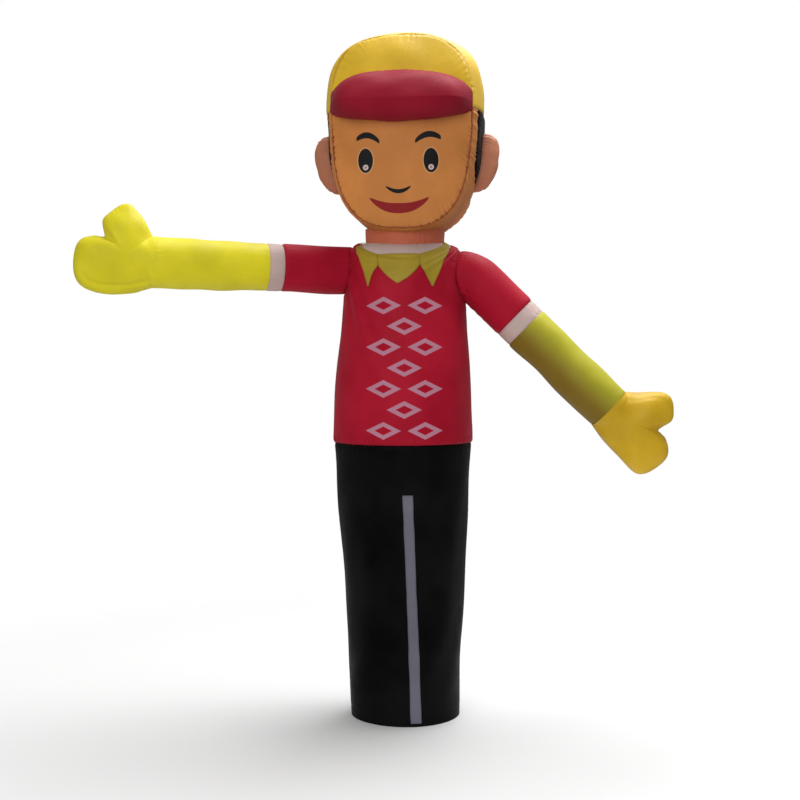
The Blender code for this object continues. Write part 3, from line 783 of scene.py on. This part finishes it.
def leg_stripe(under):
    """The grey strip up the front, on the trousers' surface."""
    table = np.array(STRIPE_ROWS)
    height = np.linspace(table[0, 0], table[-1, 0], STRIPE_STEPS)
    angle = np.radians(np.interp(height, table[:, 0], table[:, 1]))[:, None]
    half = (np.interp(height, table[:, 0], table[:, 2]) * (1 + 0.03 * waves(height, 0.16, 55)))[:, None]
    heights = np.array(LEG_ROWS)[:, 0]
    places = np.interp(height, heights, np.arange(len(heights)))[:, None]
    turn = angle + half / spline(LEG_ROWS, places)[..., 1] * np.linspace(-1, 1, STRIPE_COLUMNS)
    places = places + 0 * turn
    sheet = Sheet("leg_stripe_cloth", tube_surface(LEG_ROWS, turn, places), (0, 0, 0.6), seed=50)
    lay_on(sheet, under, turn, places / (len(LEG_ROWS) - 1), LEG_STEPS, 0.0014)
    finish_sheet(sheet, "grey_nylon", thickness=TRIM_THICKNESS)


def lay_on(sheet, under, turn, share, rows, lift):
    """Stitch a flat piece round, and give it the relief of the tube that it lies on."""
    for edge in EDGE_LINES:
        sheet.mark(*sheet.beside(edge))
    column = (turn + math.pi) / (2 * math.pi) * under.shape[1]
    row = np.interp(share, eased(rows), np.arange(rows))
    sheet.rise = 0.0
    sheet.lift = lift + under.relief_at(column, row)


def shirt():
    """The red tube up to the neckline, gathered at the hem, the neckline and the armholes."""
    turn = turns_round(SHIRT_COLUMNS)
    edges = necklines(turn)
    grid = tube_surface(SHIRT_ROWS, turn, eased(SHIRT_STEPS)[:, None] * edges)
    sheet = Sheet("shirt_cloth", grid, (0, 0, 1.6), around=True, seed=20)
    sheet.sew("start", 1.1).sew("end", 0.7).wobble(0.5, 0.0035)
    side_seams(sheet)
    long_folds(sheet, 0.0030, 22)
    below = np.clip((sheet.up[-1:] - sheet.up) / 0.12, 0, 1)
    for arm, seed in ((LEFT_ARM, 23), (RIGHT_ARM, 24)):
        away, about = from_arm(arm, grid)
        along = about * arm["root_radius"]
        sheet.add(below * pucker(along, np.abs(away), seed, pitch=0.036, reach=0.045, height=0.0040))
        sheet.mark(np.abs(away), along)
    thing = finish_sheet(sheet, "red_nylon", "startend", material=OWN_NYLON["shirt"])
    for arm in (LEFT_ARM, RIGHT_ARM):
        open_hole(thing, arm)
    return sheet


def from_arm(arm, points):
    """How far points lie outside an arm's skin, and their angle about the arm."""
    middle, along, across, depth = arm_frame(arm, BEND_START)
    offset = points - middle
    high, deep = offset @ across, offset @ depth
    away = np.hypot(high, deep) - arm["root_radius"]
    return np.where(offset @ along > -ARM_SIDE, away, 1.0), np.arctan2(deep, high)


def open_hole(thing, arm):
    """Take the shirt's cloth away inside an arm, up to a seam allowance."""
    shape = bmesh.new()
    shape.from_mesh(thing.data)
    middles = np.array([face.calc_center_median() for face in shape.faces]) - AXIS
    away, _ = from_arm(arm, middles)
    inner = [face for face, reach in zip(shape.faces, away) if reach < -SEAM_TUCK]
    bmesh.ops.delete(shape, geom=inner, context="FACES")
    shape.to_mesh(thing.data)
    shape.free()


def neck_band():
    """The off-white ring between the shirt and the neck."""
    turn = turns_round(NECK_COLUMNS)
    edges = necklines(turn)
    shares = np.linspace(0, 1, 30)[:, None]
    grid = tube_surface(SHIRT_ROWS, turn, edges + shares * (len(SHIRT_ROWS) - 1 - edges))
    sheet = Sheet("neck_band_cloth", grid, (0, 0, 1.9), around=True, seed=30)
    sheet.sew("start", 0.5).sew("end", 0.7)
    finish_sheet(sheet, "off_white_nylon", "startend")


def neck():
    """The ring between the band and the head."""
    rows = [(height, NECK_RADIUS, NECK_RADIUS, 0.0, 0.0) for height in (NECK_FROM, NECK_TO)]
    grid = tube_surface(rows, turns_round(NECK_COLUMNS), np.linspace(0, 1, 40)[:, None])
    sheet = Sheet("neck_cloth", grid, (0, 0, 2.1), around=True, seed=33)
    sheet.wobble(0.20, 0.0020)
    for level, seed in ((NECK_FROM + 0.02, 34), (NECK_TO - 0.02, 35)):
        away = np.abs(grid[..., 2] - level)
        sheet.add(pucker(sheet.along[:, :NECK_COLUMNS], away, seed, pitch=0.030, reach=0.030, height=0.0030))
    finish_sheet(sheet, "tan_nylon", material=OWN_NYLON["neck"])


def moved(edge, step):
    """A flap's inner edge, moved over the inset at its upper end."""
    return [(angle + step * share, height) for (angle, height), share in zip(edge, (1, 1, 0.3, 0))]


def collar(under):
    """The V inset and the two pointed flaps, laid on the shirt."""
    pieces = (("collar_inset", INSET_LEFT, INSET_RIGHT, INSET_LIFT),
              ("collar_flap_right", moved(FLAP_RIGHT_INNER, -FLAP_OVERLAP), FLAP_RIGHT_OUTER, FLAP_LIFT),
              ("collar_flap_left", FLAP_LEFT_OUTER, moved(FLAP_LEFT_INNER, FLAP_OVERLAP), FLAP_LIFT))
    for name, left, right, lift in pieces:
        downs = np.linspace(0, 1, COLLAR_STEPS)
        start, end = (spline(edge, downs * (len(edge) - 1))[:, None] for edge in (left, right))
        rows = start + (end - start) * np.linspace(0, 1, COLLAR_COLUMNS)[:, None]
        turn = np.radians(rows[..., 0])
        place = np.vectorize(along_at)(turn, rows[..., 1])
        sheet = Sheet(f"{name}_cloth", tube_surface(SHIRT_ROWS, turn, place), (0, 0, 1.6), seed=60)
        edge = np.interp(turn, turns_round(60), necklines(turns_round(60)))
        over_band = np.clip((place - edge) / 0.6, 0, 1)
        lay_on(sheet, under, turn, place / edge, SHIRT_STEPS, lift + BAND_RISE * over_band)
        finish_sheet(sheet, "olive_yellow_nylon", thickness=TRIM_THICKNESS)


# The arms.

def arm_frame(arm, place):
    """Middle point, direction, up and depth of an arm at a distance along it."""
    out = np.array([arm["side"] * math.cos(arm["forward"]), -math.sin(arm["forward"]), 0])
    up = np.array([0, 0, 1])
    bend = min(max(place - BEND_START, 0) / BEND_RADIUS, abs(arm["drop"]))
    way = math.copysign(1, arm["drop"])
    straight = max(place - BEND_START - BEND_RADIUS * abs(arm["drop"]), 0)
    along = out * math.cos(bend) - way * up * math.sin(bend)
    across = way * out * math.sin(bend) + up * math.cos(bend)
    middle = np.array([0, arm["back"], arm["height"]])
    middle = middle + out * (min(place, BEND_START) + BEND_RADIUS * math.sin(bend))
    middle = middle - way * up * BEND_RADIUS * (1 - math.cos(bend)) + along * straight
    return middle, along, across, np.cross(along, across)


def arm_point(arm, place, turn):
    """A point on the skin of an arm, at an angle about it from its upper side."""
    middle, _, across, depth = arm_frame(arm, place)
    radius = np.interp(place, (arm["cuff"], arm["wrist"]), (arm["root_radius"], arm["wrist_radius"]))
    return middle + radius * (math.cos(turn) * across + math.sin(turn) * depth)


def in_shirt(point):
    """Whether a point lies inside the shirt's surface."""
    turn = math.atan2(point[0], -point[1])
    places = np.linspace(0, len(SHIRT_ROWS) - 1, 200)
    shell = tube_surface(SHIRT_ROWS, np.full(200, turn), places)
    if point[2] > shell[-1, 2]:
        return False
    reach = np.interp(point[2], shell[:, 2], np.hypot(shell[:, 0], shell[:, 1]))
    return math.hypot(point[0], point[1]) < reach


def armhole(arm, turn):
    """Distance along the arm where one line of its skin leaves the shirt."""
    return last_inside(lambda place: in_shirt(arm_point(arm, place, turn)), 0.10, 0.34, 14)


def sleeve(arm, label, seed):
    """The red tube from the armhole to the cuff, gathered at both ends."""
    columns = []
    for turn in ARM_TURNS:
        start = armhole(arm, turn)
        columns.append([arm_point(arm, place, turn) for place in start + (arm["cuff"] - start) * eased(90)])
    grid = np.array(columns).transpose(1, 0, 2)
    sheet = Sheet(f"sleeve_{label}_cloth", grid, arm_frame(arm, 0.36)[0], around=True, seed=seed)
    sheet.sew("start", 0.9).sew("end", 0.6).wobble(0.16, 0.0025)
    if arm["drop"] > 0:
        armpit_folds(sheet)
    finish_sheet(sheet, "red_nylon", "startend")


def armpit_folds(sheet):
    """Creases that fan out from the armpit where a lowered arm folds its sleeve."""
    turn = ARM_TURNS[None, :]
    low = np.clip(0.15 - np.cos(turn), 0, 1) ** 1.5
    near = np.exp(-((sheet.up - 0.06) / 0.08) ** 2)
    fan = np.sin(2 * math.pi * (sheet.up / 0.040 + 0.9 * np.sin(turn)) + 0.8 * waves(turn, 1.3, 77))
    sheet.add(0.0009 * fan * low * near)


def arm_tube(arm, name, start, end, slot, seed, rows, swell=0.0025):
    """A straight piece of an arm between two places along it, gathered at both ends."""
    places = start + (end - start) * eased(rows)
    grid = np.array([[arm_point(arm, place, turn) for turn in ARM_TURNS] for place in places])
    sheet = Sheet(f"{name}_cloth", grid, arm_frame(arm, (start + end) / 2)[0], around=True, seed=seed)
    sheet.sew("start", 0.5).sew("end", 0.5).wobble(0.20, swell)
    sheet.rise = ARM_RISE
    finish_sheet(sheet, slot, "startend", material=OWN_NYLON.get(name))


def arm_pieces(arm, label, hand_slot, mitten, seed):
    """Sleeve, cuff, forearm and hand of one arm."""
    sleeve(arm, label, seed)
    arm_tube(arm, f"cuff_{label}", arm["cuff"], arm["forearm"], "off_white_nylon", seed + 1, 30, 0.001)
    arm_tube(arm, f"forearm_{label}", arm["forearm"], arm["wrist"], "lime_yellow_nylon", seed + 2, 110)
    hand(arm, f"hand_{label}", hand_slot, mitten, seed + 3)


def mitten_edge(arm, outline):
    """The flat edge of a mitten from the wrist's top round to its bottom, then back across the wrist."""
    radius = arm["wrist_radius"]
    through = [(0, radius), *outline, (0, -radius)]
    edge = spline(through, np.linspace(0, len(through) - 1, MITTEN_COLUMNS * (len(through) - 1) + 1))
    back = np.linspace(math.pi, 0, ARM_COLUMNS // 2 + 1)[1:-1]
    wrist = np.stack([np.zeros_like(back), radius * np.cos(back)], axis=-1)
    depths = np.concatenate([np.zeros(len(edge)), radius * np.sin(back)])
    return np.concatenate([edge, wrist]), depths, len(edge)


def smoothed(values, width):
    """A closed line of values, averaged over a width in points."""
    width = int(width) | 1
    if width < 3:
        return values
    weights = np.hanning(width + 2)[1:-1]
    ringed = np.concatenate([values[-width:], values, values[:width]])
    return np.convolve(ringed, weights / weights.sum(), mode="same")[width:-width]


def hand(arm, name, slot, outline, seed):
    """A puffed mitten of two panels, open at the wrist, gathered along its edge seam."""
    edge, edge_depth, sewn = mitten_edge(arm, outline)
    origin, along, across, depth = arm_frame(arm, arm["wrist"])
    middle = np.array(PALM_MIDDLE)
    rows = []
    for share in np.sin(np.linspace(0, math.pi / 2, MITTEN_STEPS)):
        flat = middle + (edge - middle) * share
        rim = smoothed(edge_depth, 100 * (1 - share)) * share
        puff = np.sqrt(PALM_HALF_DEPTH**2 * (1 - share**2) + rim**2)
        rows.append(np.concatenate([flat, puff[:, None]], axis=1))
    panel = np.array(rows)
    away = np.linalg.norm(edge[None] - panel[..., :2], axis=-1)
    run = np.concatenate([[0], np.cumsum(np.linalg.norm(np.diff(edge, axis=0), axis=1))]) + 0 * away
    near_wrist = np.clip((panel[..., 0] - 0.004) / 0.03, 0, 1)
    beside_fold = np.clip(math.copysign(1, arm["drop"]) * panel[..., 1] / 0.05 - 0.6, 0, 1)
    fold = beside_fold * np.exp(-((away - HAND_FOLD_AWAY) / 0.009) ** 2)
    for sign, label in ((-1, "front"), (1, "back")):
        grid = origin + panel[..., :1] * along + panel[..., 1:2] * across + sign * panel[..., 2:] * depth
        sheet = Sheet(f"{name}_{label}", grid, origin + 0.15 * along, around=True, seed=seed)
        sheet.weave = (panel[..., 0], panel[..., 1])
        sheet.gather(np.where(np.arange(len(edge)) < sewn, away, 1.0), run, seed, 0.3, reach=0.018)
        wrist_run = np.arctan2(panel[..., 2] * sign, panel[..., 1]) * arm["wrist_radius"]
        sheet.gather(np.abs(panel[..., 0]), wrist_run, seed + 5, 0.4, reach=0.018)
        sheet.wobble(0.11, 0.0035).add(-arm["fold"] * fold)
        sheet.relief = sheet.relief * near_wrist
        sheet.rise = ARM_RISE
        finish_sheet(sheet, slot, node=name)


# The head.

def polar(angle, half_width, up, down, power_up, power_down):
    """How far a rounded-box outline lies from its middle, at an angle from +X."""
    rise = np.where(np.sin(angle) >= 0, up, down)
    power = np.where(np.sin(angle) >= 0, power_up, power_down)
    across, along = np.abs(np.cos(angle) / half_width), np.abs(np.sin(angle) / rise)
    return (across**power + along**power) ** (-1 / power)


def head_edge(angle):
    """The head's widest outline."""
    return polar(angle, *HEAD_OUTLINE)


def panel_edge(angle):
    """The seam round the front or back panel."""
    return polar(angle, *PANEL_OUTLINE)


def on_head(angle, reach, depth):
    """A point of the head from its own polar place, turned with the head."""
    x, y = reach * np.cos(angle), depth
    return np.stack([x * math.cos(HEAD_TURN) - y * math.sin(HEAD_TURN) + HEAD_X,
                     x * math.sin(HEAD_TURN) + y * math.cos(HEAD_TURN),
                     HEAD_HEIGHT + reach * np.sin(angle)], axis=-1)


def panel_depth(share):
    """How far in front of the head's middle a panel lies, from its middle (0) to its seam (1)."""
    return PANEL_DEPTH + PANEL_CROWN * (1 - np.asarray(share) ** PANEL_FALL)


def panel(name, low, high, side, slot, seed, gathers, material=None):
    """A front (side -1) or back (side 1) panel, gathered along its curved seam."""
    angles = np.linspace(low, high, PANEL_COLUMNS)
    shares = np.sin(np.linspace(0, math.pi / 2, PANEL_STEPS))[:, None]
    reach = shares * panel_edge(angles)
    grid = on_head(angles, reach, side * panel_depth(shares) + 0 * angles)
    sheet = Sheet(f"{name}_cloth", grid, (HEAD_X, 0, HEAD_HEIGHT), seed=seed)
    sheet.weave = (reach * np.cos(angles), reach * np.sin(angles))
    sheet.sew("end", gathers, HEAD_REACH).wobble(0.22, 0.0045)
    straight = np.abs(sheet.weave[1])
    sheet.add(pucker(sheet.weave[0], straight, seed + 40, height=0.0035))
    sheet.mark(straight, sheet.weave[0])
    finish_sheet(sheet, slot, "endleftright", material=material)


def band_reach(angle, across):
    """How far out the strip between the panels lies, from -1 at the front seam to 1 at the back seam."""
    return head_edge(angle) + (panel_edge(angle) - head_edge(angle)) * np.abs(across) ** BAND_SWELL


def band(name, angles, front, back, slot, seed, gathers, rows=90):
    """A piece of the strip, between a front edge and a back edge given at each angle."""
    across = front + (back - front) * eased(rows)[:, None]
    angles = angles + 0 * across
    grid = on_head(angles, band_reach(angles, across), across * PANEL_DEPTH)
    sheet = Sheet(f"{name}_cloth", grid, (HEAD_X, 0, HEAD_HEIGHT), seed=seed)
    sheet.sew("start", gathers, HEAD_REACH).sew("end", gathers, HEAD_REACH)
    sheet.sew("left", 0.5).sew("right", 0.5)
    sheet.wobble(0.20, 0.0035)
    finish_sheet(sheet, slot, "startendleftright")


def hair_edge(angles):
    """Front edge of the hair on the strip: it moves back as it goes down, and meets the back seam."""
    share = np.clip(np.minimum(-angles, angles + math.pi) / -HAIR_LOW, 0, 1)
    return HAIR_EDGE + (HAIR_TIP - HAIR_EDGE) * share**HAIR_SWEEP


def head():
    """Cap, face, jaw strip and hair."""
    up, down = math.pi, -math.pi
    panel("cap_front", 0, up, -1, "yellow_nylon", 80, CAP_GATHERS)
    panel("cap_back", 0, up, 1, "yellow_nylon", 81, CAP_GATHERS)
    panel("face", down, 0, -1, "skin_nylon", 82, HEAD_GATHERS, OWN_NYLON["face"])
    panel("hair_back", down, 0, 1, "black_nylon", 83, HEAD_GATHERS)
    cap_angles = np.linspace(0, up, CAP_COLUMNS)
    band("cap_side", cap_angles, -1 + 0 * cap_angles, 1 + 0 * cap_angles, "yellow_nylon", 84, CAP_GATHERS)
    jaw_angles = np.linspace(down, 0, JAW_COLUMNS)
    low_down = np.minimum(-jaw_angles, jaw_angles + math.pi) > -HAIR_LOW
    hair_line = np.where(low_down, 1, hair_edge(jaw_angles))
    band("head_side", jaw_angles, -1 + 0 * jaw_angles, hair_line, "skin_nylon", 85, HEAD_GATHERS)
    for label, low, high in (("right", HAIR_LOW, 0), ("left", down, down - HAIR_LOW)):
        angles = np.linspace(low, high, HAIR_COLUMNS)
        band(f"hair_side_{label}", angles, hair_edge(angles), 1 + 0 * angles, "black_nylon", 86,
             HEAD_GATHERS, 50)


def front_of_head(x, z):
    """Depth of the front panels at a place in the head's own frame."""
    share = np.hypot(x, z) / panel_edge(np.arctan2(z, x))
    return -panel_depth(np.minimum(share, 1))


def visor():
    """The puffy crescent over the seam between cap and face: one sheet, softly folded at its front edge."""
    spread = np.sin(np.linspace(-math.pi / 2, math.pi / 2, VISOR_COLUMNS))
    x = VISOR_HALF * spread
    top, low, edge = (middle + (end - middle) * np.abs(spread) ** flank - HEAD_HEIGHT
                      for middle, end, flank in VISOR_LINES)
    reach = VISOR_REACH * (1 - np.abs(spread) ** VISOR_TAPER)
    share = eased(VISOR_STEPS)[:, None]
    bulge = 4 * share * (1 - share) * VISOR_PUFF * reach / VISOR_REACH
    halves = []
    for start, side in ((top, 1), (low, -1)):
        y = front_of_head(x, start) * (1 - share) + (front_of_head(x, edge) - reach) * share - 0.6 * bulge
        z = start + (edge - start) * share + side * bulge
        halves.append(np.stack([x + 0 * share, y, z], axis=-1))
    flat = softened(np.concatenate([halves[0], halves[1][:0:-1]]), VISOR_FOLD)
    grid = on_head(np.arctan2(flat[..., 2], flat[..., 0]), np.hypot(flat[..., 0], flat[..., 2]), flat[..., 1])
    inside = (HEAD_X, -PANEL_DEPTH - 0.09, HEAD_HEIGHT + 0.04)
    sheet = Sheet("visor_cloth", grid, inside, seed=90)
    sheet.sew("start", 0.6).sew("end", 0.6).wobble(0.13, 0.0016)
    sheet.lift = VISOR_LIFT
    finish_sheet(sheet, "crimson_nylon", "startend")


def softened(rows, times):
    """Rows of points with sharp folds rounded, the first and the last row left where they are."""
    for _ in range(times):
        rows[1:-1] = (rows[:-2] + 2 * rows[1:-1] + rows[2:]) / 4
    return rows


def root_reach(z, y):
    """Half width of the head's strip at a height and depth in its own frame."""
    def inside(x):
        return math.hypot(x, z) < band_reach(math.atan2(z, x), y / PANEL_DEPTH)
    return last_inside(inside, 0.15, 0.40, 24)


def ear(label, side):
    """A puffy pad on the strip, gathered round its root."""
    turns = np.linspace(0, 2 * math.pi, EAR_COLUMNS, endpoint=False)
    middle_height = EAR_HEIGHT - HEAD_HEIGHT
    rims = [root_reach(middle_height + EAR_HALF_HEIGHT * math.cos(turn),
                       EAR_BACK + EAR_HALF_DEPTH * math.sin(turn)) for turn in turns]
    middle_root = root_reach(middle_height, EAR_BACK)
    out = math.pi / 2 * (1 - (1 - np.linspace(0, 1, EAR_STEPS)[:, None]) ** 2)
    shrink = np.maximum(np.cos(out), 0) ** EAR_ROUNDNESS
    local_y = EAR_HALF_DEPTH * np.sin(turns) * shrink
    x = np.array(rims) * shrink + middle_root * (1 - shrink) + EAR_REACH * np.sin(out)
    z = middle_height + EAR_HALF_HEIGHT * np.cos(turns) * shrink
    grid = on_head(np.arctan2(z, side * x), np.hypot(x, z), EAR_BACK + local_y)
    inside = on_head(np.array(0.0), np.array(side * 0.30), np.array(EAR_BACK)) - (0, 0, 0.2)
    sheet = Sheet(f"ear_{label}_cloth", grid, inside, around=True, seed=95)
    sheet.sew("start", 0.8).wobble(0.07, 0.0015)
    sheet.gather(np.where(sheet.up > 0.006, np.abs(local_y), 1.0), sheet.up, 97, 1.5, reach=0.020)
    finish_sheet(sheet, "tan_nylon", "start")


# The studio.

def camera():
    """A level camera a little left of the figure's middle, looking along +Y."""
    data = bpy.data.cameras.new("camera")
    data.lens = LENS
    data.shift_y = HORIZON_SHIFT
    thing = placed("camera", data, Vector(AXIS) + Vector(CAMERA_PLACE))
    thing.rotation_euler = (math.radians(90), 0, 0)
    bpy.context.scene.camera = thing


def area_light(name, place, target, size, power):
    """A soft square light that points at a place."""
    data = bpy.data.lights.new(name, "AREA")
    data.shape = "SQUARE"
    data.size = size
    data.energy = power
    thing = placed(name, data, Vector(place) + Vector(AXIS))
    thing.rotation_euler = (Vector(target) - Vector(place)).to_track_quat("-Z", "Y").to_euler()


def floor():
    """A pale round floor that fades out towards its rim."""
    shape = bmesh.new()
    bmesh.ops.create_circle(shape, cap_ends=True, segments=96, radius=FLOOR_REACH[1])
    mesh = bpy.data.meshes.new("floor")
    shape.to_mesh(mesh)
    shape.free()
    material, tree, inputs = new_material("floor")
    x, y, _ = parts(coordinate(tree))
    shown = 1.0 - between(work_out("SQRT", x * x + y * y), *FLOOR_REACH)
    for label, value in (("Base Color", FLOOR), ("Roughness", 0.8), ("Alpha", shown)):
        feed(inputs[label], value)
    mesh.materials.append(material)
    placed("floor", mesh)


def studio():
    """A white room, lit softly from above: white to look at, and dimmer as a light."""
    world = bpy.data.worlds.new("room")
    world.use_nodes = True
    tree = world.node_tree
    looks = [add_node(tree, "LightPath", {}, "Is Camera Ray")]
    for strength in (ROOM_LIGHT, 1.0):
        looks.append(add_node(tree, "Background", {"Color": (1, 1, 1), "Strength": strength}, 0))
    seen = add_node(tree, "MixShader", dict(enumerate(looks)), 0)
    feed(tree.nodes["World Output"].inputs["Surface"], seen)
    bpy.context.scene.world = world
    for name, place, target, size, power in LIGHTS:
        area_light(name, place, target, size, power)
    bpy.context.scene.view_settings.view_transform = "Standard"


NYLON = {name: nylon(name, *look) for name, look in SLOTS.items()}
OWN_NYLON = {
    "face": nylon("printed_skin_nylon", *SLOTS["skin_nylon"], face_print),
    "shirt": nylon("printed_red_nylon", *SLOTS["red_nylon"], chest_print),
    "neck": nylon("neck_nylon", NECK_TAN, 0.60, 0.6, 0.20),
    # The lowered right forearm: a darker copy of the lime as painted shade, browner underneath.
    "forearm_right": nylon("shaded_lime_nylon", SHADED_LIME, 0.56, 0.1, 0.28, painted_forearm_shade),
}

leg_stripe(trousers())
collar(shirt())
neck_band()
neck()
arm_pieces(LEFT_ARM, "left", "lime_yellow_nylon", LEFT_MITTEN, 110)
arm_pieces(RIGHT_ARM, "right", "orange_yellow_nylon", RIGHT_MITTEN, 130)
head()
visor()
ear("left", -1)
ear("right", 1)

floor()
studio()
camera()
